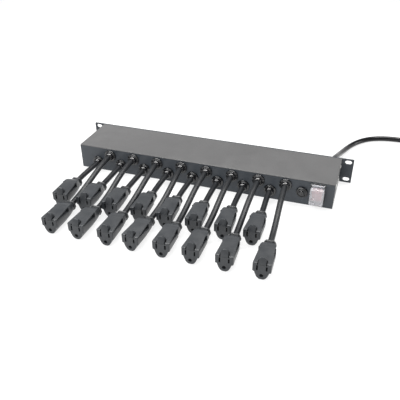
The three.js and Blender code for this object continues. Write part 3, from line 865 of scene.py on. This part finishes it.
def thumbTab():
    # an arch that stands on the top at the face: its sections lean back and sink to nothing behind
    tab = connector["tab"]
    t = np.concatenate([[0, 0.012, 0.035], np.linspace(0.07, 1, 15)])
    turn = np.linspace(0, np.pi, 25)
    fall = np.cos(t * np.pi / 2) ** 0.9
    rim = np.array([0.93, 0.975, 1] + [1] * 15)
    width = tab["half"] * rim * (1 - 0.45 * t ** 2)
    height = np.maximum(tab["high"] * fall * rim, 0.02)
    # an arch: its sides stand nearly straight below a round top
    x = width[:, None] * np.sign(np.cos(turn)) * np.abs(np.cos(turn)) ** 0.62
    z = height[:, None] * np.sin(turn) ** 0.9
    y = 0.1 + t[:, None] * tab["back"] + tab["lean"] * (z / tab["high"]) * (1 - t[:, None])
    below = -(tab["moat"] + 1) * np.ones_like(t)
    foot = np.stack([np.stack([side * width, 0.1 + t * tab["back"], below], -1) for side in (-1, 1)], 1)
    rings = np.concatenate([np.stack([x, y, z], -1), foot], 1) + np.array([0, 0, connector["top"]])
    return stack(rings * mm)


def connectorCuts():
    cuts = []
    for side, high in zip((-1, 1), connector["slotHeights"]):
        rect = roundedRect(
            side * connector["slotX"], connector["slotZ"], connector["slotWidth"], high, 0.35, 2)
        cuts.append(stack(np.stack([placed(rect, -2, "xz"), placed(rect, 16, "xz")])))
    hole = circle(0, connector["groundZ"], connector["groundRadius"], 20)
    cuts.append(stack(np.stack([placed(hole, -2, "xz"), placed(hole, 17, "xz")])))
    # a narrow moat round the thumb tab
    tab, turn = connector["tab"], np.linspace(0, np.pi, 17)
    half = tab["half"] + tab["gap"]
    arch = np.stack([half * np.cos(turn), 5 + 7 * np.sin(turn)], -1)
    moat = np.concatenate([[[-half, -3], [half, -3]], arch])
    floor = placed(moat, 0, "xy")
    floor[:, 2] = connector["top"] - tab["moat"] + (tab["moat"] - 0.05) * smoothstep(moat[:, 1] / 12)
    cuts.append(stack(np.stack([floor, placed(moat, 28, "xy")])))
    for side in (-1, 1):
        dimple = circle(side * 3.1, 51.5, 0.85, 14)
        cuts.append(stack(np.stack([placed(dimple, 22.2, "xy"), placed(dimple, 28, "xy")])))
    points, faces = joinShapes(*cuts)
    return points * mm, faces


def makeConnectors():
    points, faces = cutAway(connectorBody(), connectorCuts())
    contacts = [
        block((x + side * 0.75 - 0.2, 7, 15.6), (x + side * 0.75 + 0.2, 15.8, 22.2), 0.08)
        for x in (-connector["slotX"], connector["slotX"]) for side in (-1, 1)
    ]
    sleeve = spun([[2.1, 7], [2.6, 7], [2.6, 16.5], [2.1, 16.5]], (0, 0, connector["groundZ"]), "y", 16, True)
    metal, metalFaces = joinShapes(*contacts, sleeve)
    # the collar is dark satin nylon, the walls of the moat are painted near-black as painted shade, and the
    # contacts are brass
    along, up = np.array([points[face].mean(0) for face in faces]).T[1:] / mm
    black, depth = connector["black"], connector["top"] - up
    inMoatShade = (along > black["from"]) & (along < black["to"])
    inMoatShade &= (depth > black["shallow"]) & (depth < black["deep"])
    sideways = np.array([np.abs(points[face][:, 0]).max() for face in faces]) / mm
    inMoatShade &= sideways < connector["tab"]["half"] + connector["tab"]["gap"] + 0.05
    tab, tabFaces = thumbTab()
    picks = np.concatenate([
        (along > black["collar"]) * 1 + inMoatShade * 3, np.zeros(len(tabFaces)), np.full(len(metalFaces), 2)])
    points, faces = joinShapes((points, faces), (tab, tabFaces), (metal * mm, metalFaces))
    made = {}
    for row in ("long", "short"):
        facts = outletRows[row]
        for i, (x, turn, _) in enumerate(facts["places"]):
            a = math.radians(turn)
            spin = np.array([[math.cos(a), math.sin(a), 0], [-math.sin(a), math.cos(a), 0], [0, 0, 1]])
            there = points @ spin + np.array([x * mm, frontY - facts["reach"], 0])
            name = f"{row}_outlet_{i + 1}"
            piece = makePiece(name, there, faces, ["vinyl", "satinNylon", "brass", "moatShadeBlack"], picks=picks)
            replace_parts(piece, f"{row}_connector_{i + 1}")
            made[row, i] = piece
    return made


def makeBreaker():
    x, z = breaker["x"], breaker["z"]
    low, high = np.array(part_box("breaker_body"))
    inner = frontY + sheet + chassis["gap"]
    case = block((low[0], inner, low[2]), (high[0], high[1], high[2]), 0.8 * mm)
    # the neck's thread is a fine ripple along it
    y = np.linspace(low[1] + 0.3 * mm, inner + 0.6 * mm, 41)
    ripple = breaker["neck"] - 0.22 * mm + 0.22 * mm * np.sin((y - y[0]) / (0.9 * mm) * 2 * np.pi)
    outer = np.stack([ripple, y], -1)
    profile = np.concatenate([
        [[breaker["bore"], low[1] + 0.3 * mm], [breaker["bore"] + 0.3 * mm, low[1]],
         [breaker["neck"] - 0.5 * mm, low[1]]],
        outer, [[breaker["bore"], inner + 0.6 * mm]],
    ])
    neck = spun(profile, (x, 0, z), "y", 36, wrap=True)
    tabs = [block((x - 3.2 * mm, high[1] - 0.2 * mm, z + s * 8 * mm - 0.4 * mm),
                  (x + 3.2 * mm, high[1] + 0.9 * mm, z + s * 8 * mm + 0.4 * mm), 0.1 * mm) for s in (-1, 1)]
    points, faces = joinShapes(case, neck, *tabs)
    count = len(case[1]) + len(neck[1])
    picks = [0] * count + [1] * (len(faces) - count)
    piece = makePiece("breaker_case", points, faces, ["satinNylon", "brass"], picks=picks)
    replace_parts(piece, "breaker_body")

    # the nut: a rounded ring with fine knurls round its rim
    low, high = np.array(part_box("breaker_nut"))
    r = breaker["nut"]
    profile = np.array([
        [5.75 * mm, low[1] + 0.4 * mm], [6.0 * mm, low[1]], [6.4 * mm, low[1]], [6.5 * mm, low[1] + 1.4 * mm],
        [7.2 * mm, low[1] + 1.4 * mm], [7.3 * mm, low[1]], [r - 0.9 * mm, low[1]],
        [r - 0.5 * mm, low[1] + 0.3 * mm], [r - 0.1 * mm, low[1] + 0.9 * mm],
        [r, low[1] + 1.5 * mm], [r, high[1]], [5.75 * mm, high[1]],
    ])
    sides = 96
    turn = np.linspace(0, 2 * np.pi, sides, endpoint=False)
    knurl = 0.28 * mm * (np.arange(sides) % 4 < 2) * (profile[:, :1] > r - 1.0 * mm)
    radius = profile[:, :1] - knurl
    ring = np.stack([radius * np.cos(turn), np.repeat(profile[:, 1:2], sides, 1), radius * np.sin(turn)], -1)
    points, faces = stack(ring + np.array([x, 0, z]), wrap=True)
    piece = makePiece("breaker_ring_nut", points, faces, "nylon", sharp=25)
    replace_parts(piece, "breaker_nut")

    low, high = np.array(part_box("breaker_button"))
    r = breaker["button"]
    turn = np.linspace(0, np.pi / 2, 6)
    rim = np.stack([r - 0.9 * mm + 0.9 * mm * np.sin(turn), low[1] + 0.9 * mm * (1 - np.cos(turn))], -1)
    dish = np.array([[0, low[1] + 0.55 * mm], [1.2 * mm, low[1] + 0.5 * mm], [2.2 * mm, low[1] + 0.25 * mm]])
    profile = np.concatenate([dish, rim, [[r, high[1]], [0, high[1]]]])
    points, faces = spun(profile, (x, 0, z), "y", 32)
    piece = makePiece("reset_button", points, faces, "nylon", body="reset", sharp=45)
    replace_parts(piece, "breaker_button")


def makeSwitch():
    x, z = switch["x"], switch["z"]
    low, high = np.array(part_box("switch_body"))
    well = roundedRect(x, z, 16 * mm, 23 * mm, 0.8 * mm, 3)
    # the bezel's face is a flat frame with a raised lip round the well
    frameZ = (low[2] + 36.4 * mm) / 2
    bezel = plate(roundedRect(x, frameZ, 22.4 * mm, 36.4 * mm - low[2], 1.4 * mm, 4), [well],
                  frontY - 1.5 * mm, frontY - 0.05 * mm, 0.35 * mm)
    case = plate(roundedRect(x, z, 19.8 * mm, 26.4 * mm, 1 * mm, 4), [well],
                 frontY - 0.9 * mm, frontY + 9 * mm, 0.3 * mm)
    back = block((x - 9.9 * mm, frontY + 9.2 * mm, z - 13.2 * mm),
                 (x + 9.9 * mm, high[1], z + 13.2 * mm), 0.6 * mm)
    riser = block((x - 11.2 * mm, frontY - 1.5 * mm, 35.6 * mm),
                  (x + 11.2 * mm, frontY - 0.05 * mm, 41.6 * mm), 0.35 * mm)
    # each lug is an eye round the hinge pin with a foot on the riser
    hy, hz, eye = hinge["y"], hinge["z"], 2.4 * mm
    turn = np.linspace(np.pi / 2, 3 * np.pi / 2, 13)
    loop = np.concatenate([
        [[frontY - 0.3 * mm, hz + eye]], np.stack([hy + eye * np.cos(turn), hz + eye * np.sin(turn)], -1),
        [[frontY - 0.3 * mm, hz - eye]],
    ])
    hole = circle(hy, hz, hinge["pin"] + 0.3 * mm, 20)
    lugs = [
        plate(loop, [hole], x + a * mm, x + b * mm, 0.3 * mm, "yz") for a, b in ((-11.2, -9.4), (9.4, 11.2))]
    tabs = [block((x - 3.1 * mm, high[1] - 0.2 * mm, tabZ * mm - 0.4 * mm),
                  (x + 3.1 * mm, high[1] + 0.5 * mm, tabZ * mm + 0.4 * mm), 0.1 * mm) for tabZ in (32, 27)]
    points, faces = joinShapes(bezel, case, back, riser, *lugs, *tabs)
    count = len(faces) - sum(len(tab[1]) for tab in tabs)
    picks = [0] * count + [1] * (len(faces) - count)
    piece = makePiece("switch_frame", points, faces, ["satinNylon", "brass"], picks=picks)
    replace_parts(piece, "switch_body")


rocker = {"reach": 11.1 * mm, "width": 15.4 * mm, "pivotIn": 1 * mm}
hinge = {"y": -50.4 * mm, "z": 39.2 * mm, "pin": 1.4 * mm}
guard = {
    "width": 22.4 * mm, "wall": 1.3 * mm,
    "front": -59 * mm, "back": -48.35 * mm, "low": 7.6 * mm, "high": 36 * mm,
}


def makeRocker():
    # its ends are arcs about the pivot, and its two faces meet in a shallow hollow
    r = rocker["reach"]
    top, bottom = np.radians(np.linspace(-13, 15, 8)), np.radians(np.linspace(33, 5, 8))
    middle = np.array([[-3.4, 0.9], [-3.42, 0.55], [-3.5, 0.2]]) * mm
    outline = np.concatenate([
        [[3 * mm, -5 * mm], [3 * mm, 5 * mm]],
        np.stack([-r * np.sin(top), r * np.cos(top)], -1), middle,
        np.stack([-r * np.sin(bottom), -r * np.cos(bottom)], -1),
    ])
    outline = outline + np.array([frontY + rocker["pivotIn"], switch["z"]])
    half = rocker["width"] / 2
    points, faces = plate(outline, [], switch["x"] - half, switch["x"] + half, 0.45 * mm, "yz", 4)
    piece = makePiece("lit_rocker", points, faces, "lens", body="rocker")
    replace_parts(piece, "switch_rocker")


def makeGuard():
    # an open-backed clear box: rings from the inside of its face, round its rim, to the outside of its face
    x = switch["x"]
    wall, front, rim = guard["wall"], guard["front"], guard["back"]
    middle, height = (guard["low"] + guard["high"]) / 2, guard["high"] - guard["low"]
    outer = roundedRect(x, middle, guard["width"], height, 2.0 * mm, 6)
    inner = roundedRect(x, middle, guard["width"] - 2 * wall, height - 2 * wall, 1.0 * mm, 6)
    turn = np.linspace(0, np.pi / 2, 6)
    edge = 1.1 * mm
    inside = [
        (inset(inner, edge * (1 - math.cos(a))), front + wall + edge * (1 - math.sin(a))) for a in turn[::-1]]
    outside = [(inset(outer, edge * (1 - math.cos(a))), front + edge * (1 - math.sin(a))) for a in turn]
    rims = [(inner, rim - 0.2 * mm), (inset(inner, -0.2 * mm), rim), (inset(outer, 0.2 * mm), rim),
            (outer, rim - 0.2 * mm)]
    rings = np.stack([placed(loop, depth, "xz") for loop, depth in inside + rims + outside])
    # three low grips down each side
    grip = 0.35 * mm * np.cos((rings[..., 2] - middle) / (9.4 * mm) * 2 * np.pi)
    onSide = np.abs(rings[..., 0] - x) > guard["width"] / 2 - 2.4 * mm
    rings[..., 0] -= np.where(onSide, np.sign(rings[..., 0] - x) * (0.35 * mm - grip), 0)
    shell = stack(rings)
    strap = block((x - 9 * mm, hinge["y"] - 0.6 * mm, guard["high"] - 0.6 * mm),
                  (x + 9 * mm, hinge["y"] + 0.6 * mm, hinge["z"]), 0.2 * mm)
    pin = hinge["pin"]
    rod = spun([[pin - 0.3 * mm, -11 * mm], [pin, -10.7 * mm], [pin, 10.7 * mm], [pin - 0.3 * mm, 11 * mm]],
               (x, hinge["y"], hinge["z"]), "x", 20)
    points, faces = joinShapes(shell, strap, rod)
    piece = makePiece("clear_guard", points, faces, "clear", body="guard")
    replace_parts(piece, "switch_guard")


gland = {"x": 206 * mm, "z": 21 * mm, "flange": 11 * mm, "length": 30 * mm, "ribs": 7}


def makeGland():
    # a flange on the panel, then a taper cut by ribs so that it can bend
    start, end = backY + 0.3 * mm, backY + gland["length"]
    y = np.linspace(start + 4.2 * mm, end - 0.6 * mm, 71)
    t = (y - y[0]) / (y[-1] - y[0])
    cuts = smoothstep((np.sin(t * gland["ribs"] * 2 * np.pi - np.pi / 2) - 0.1) / 0.5)
    radius = 8.6 * mm + (6.3 - 8.6) * mm * t - 1.25 * mm * cuts
    inside = panelY - 8 * mm
    profile = np.concatenate([
        [[4.2 * mm, inside], [8 * mm, inside], [8 * mm, start - 0.2 * mm], [10.6 * mm, start],
         [gland["flange"], start + 0.5 * mm], [gland["flange"], start + 2.2 * mm], [10.6 * mm, start + 2.8 * mm],
         [9.4 * mm, start + 3.1 * mm]],
        np.stack([radius, y], -1),
        [[5.4 * mm, end], [4.8 * mm, end - 0.3 * mm], [4.2 * mm, end - 4 * mm]],
    ])
    points, faces = spun(profile, (gland["x"], 0, gland["z"]), "y", 40, wrap=True)
    piece = makePiece("strain_relief", points, faces, "satinNylon", sharp=50)
    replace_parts(piece, "mains_gland")


plug = {"x": 470.3, "y": 119, "axis": 12.4, "length": 56}


def makePlug():
    # sections blend from a round sleeve into the flat-sided body, with grip ridges along its sides
    y = np.unique(np.concatenate([np.linspace(0, 21, 43), np.linspace(21, 34, 22), np.linspace(34, 54, 21),
                                  [54.6, 55.2, 55.7, 56]]))
    wide = np.interp(y, [0, 21, 30, 34, 50, 56], [5.4, 8, 12.2, 12.7, 13, 13])[:, None]
    high = np.interp(y, [0, 21, 30, 34, 50, 56], [5.4, 7.4, 10, 10.8, 11.8, 12.1])[:, None]
    turn = np.linspace(0, 2 * np.pi, 64, endpoint=False)
    square = np.interp(y, [0, 21, 32, 56], [2, 2.2, 3.4, 4.2])[:, None]
    power = 2 / square
    x = wide * np.sign(np.cos(turn)) * np.abs(np.cos(turn)) ** power
    z = high * np.sign(np.sin(turn)) * np.abs(np.sin(turn)) ** power
    t = y / 21
    ribs = 0.9 * smoothstep((np.sin(t * 6 * 2 * np.pi - np.pi / 2) - 0.1) / 0.5) * (y < 20.5)
    ridges = 0.55 * (0.5 - 0.5 * np.cos((y - 34) / 16 * 4 * 2 * np.pi)) * ((y > 34) & (y < 50))
    scale = 1 - (ribs / 7)[:, None] - (ridges[:, None] / 13) * (np.abs(np.cos(turn)) > 0.8)
    edge = (1 - np.sqrt(np.clip(1 - (np.clip(y - 55, 0, 1)) ** 2, 0, 1)))[:, None]
    scale = scale * (1 - edge * 0.08)
    rings = np.stack([
        plug["x"] + x * scale, np.repeat(plug["y"] - y[:, None], len(turn), 1), plug["axis"] + z * scale], -1)
    body = stack(rings * mm)
    face = plug["y"] - plug["length"]

    def blade(side):
        # a flat blade with a hole through it and its end's corners cut
        outline = softened([
            (face + 2, 12.85, 0.01), (face + 2, 19.15, 0.01), (face - 14.6, 19.15, 0.3),
            (face - 16, 17.8, 0.3), (face - 16, 14.2, 0.3), (face - 14.6, 12.85, 0.3),
        ], 3)
        hole = circle(face - 12, 16, 1.6, 18)
        x = plug["x"] + side * 6.35
        points, faces = plate(outline, [hole], x - 0.76, x + 0.76, 0.15, "yz", 2)
        return points * mm, faces

    turn = np.linspace(0, np.pi / 2, 8)
    tip = np.stack([2.4 * np.cos(turn), -17 - 2.2 * np.sin(turn)], -1)
    pin = spun(np.concatenate([[[2.4, 2]], tip]), (plug["x"], face, 4.6), "y", 24)
    pin = (pin[0] * mm, pin[1])
    blades = joinShapes(blade(-1), blade(1), pin)
    points, faces = joinShapes(body, blades)
    picks = [0] * len(body[1]) + [1] * len(blades[1])
    piece = makePiece("moulded_plug", points, faces, ["plugVinyl", "nickel"], picks=picks)
    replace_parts(piece, "mains_plug")
    return piece


tie = {"angles": (35, 215), "wide": 13 * mm, "thick": 1.1 * mm}


def makeTies():
    # a woven strap round the coil's section; its outline is carried straight across its width
    centre = np.array([*mainsLead["coilCentre"], 0])
    middle = mainsLead["innerTurn"] + 1.5 * mainsLead["coilPitch"]
    across, up = 39.2 * mm, 29.4 * mm
    shapes = []
    for degrees in tie["angles"]:
        a = math.radians(degrees)
        outwards, along = np.array([math.cos(a), math.sin(a), 0]), np.array([-math.sin(a), math.cos(a), 0])
        thick = tie["thick"]
        outline = roundedRect(0, up / 2 + 0.3 * mm, across + 2 * thick, up + 0.6 * mm + thick, 5 * mm, 8)
        hole = roundedRect(0, up / 2 + 0.3 * mm, across, up + 0.6 * mm - thick * 0.6, 4.4 * mm, 8)
        points, faces = plate(outline, [hole], -tie["wide"] / 2, tie["wide"] / 2, 0.3 * mm)
        low = points[:, 2].min()
        points[:, 2] -= low
        there = centre + outwards * middle + points[:, :1] * outwards + points[:, 1:2] * along \
            + points[:, 2:] * [0, 0, 1]
        shapes.append((there, faces))
    points, faces = joinShapes(*shapes)
    piece = makePiece("coil_ties", points, faces, "strap")
    return piece


def makeStud():
    low, high = np.array(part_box("ground_stud"))
    x, y = (low[0] + high[0]) / 2, (low[1] + high[1]) / 2
    r = 2 * mm
    z = np.linspace(low[2] + 0.4 * mm, high[2], 40)
    thread = r - 0.12 * mm * (1 + np.sin(z / (0.7 * mm) * 2 * np.pi))
    stud = spun(np.stack([thread, z], -1), (x, y, 0), "z", 20)
    bore = r + 0.1 * mm
    washer = spun([[bore, 4.7 * mm], [3.6 * mm, 4.7 * mm], [3.6 * mm, 5.6 * mm], [bore, 5.6 * mm]],
                  (x, y, 0), "z", 28, True)
    nut = spun([[bore, 5.7 * mm], [3.3 * mm, 5.7 * mm], [3.6 * mm, 6.1 * mm], [3.6 * mm, 9.4 * mm],
                [3.3 * mm, 9.8 * mm], [bore, 9.8 * mm]], (x, y, 0), "z", 6, True)
    points, faces = joinShapes(stud, washer, nut)
    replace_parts(makePiece("threaded_stud", points, faces, "brass"), "ground_stud")


insideFinishes = {
    "bus_insulator": "phenolic",
    "live_bus_bar": "copper", "neutral_bus_bar": "copper", "ground_bus_bar": "copper",
}


def finishInside():
    for name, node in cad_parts.items():
        finish = insideFinishes.get(name, "wire" if "wire" in name else "earPaint")
        node.data.materials.clear()
        node.data.materials.append(materials[finish])


makeCover()
makeTray()
makeRackPlate()
makeOutletPlate()
makeScrews()
print("sheet metal done")
makeBushings()
connectors = makeConnectors()
print("bushings and connectors:", len(connectors))
makeBreaker()
makeSwitch()
makeRocker()
makeGuard()
print("breaker and switch done")
makeGland()
mainsPlug = makePlug()
ties = makeTies()
makeStud()
finishInside()
print("mains lead, plug and wiring done")
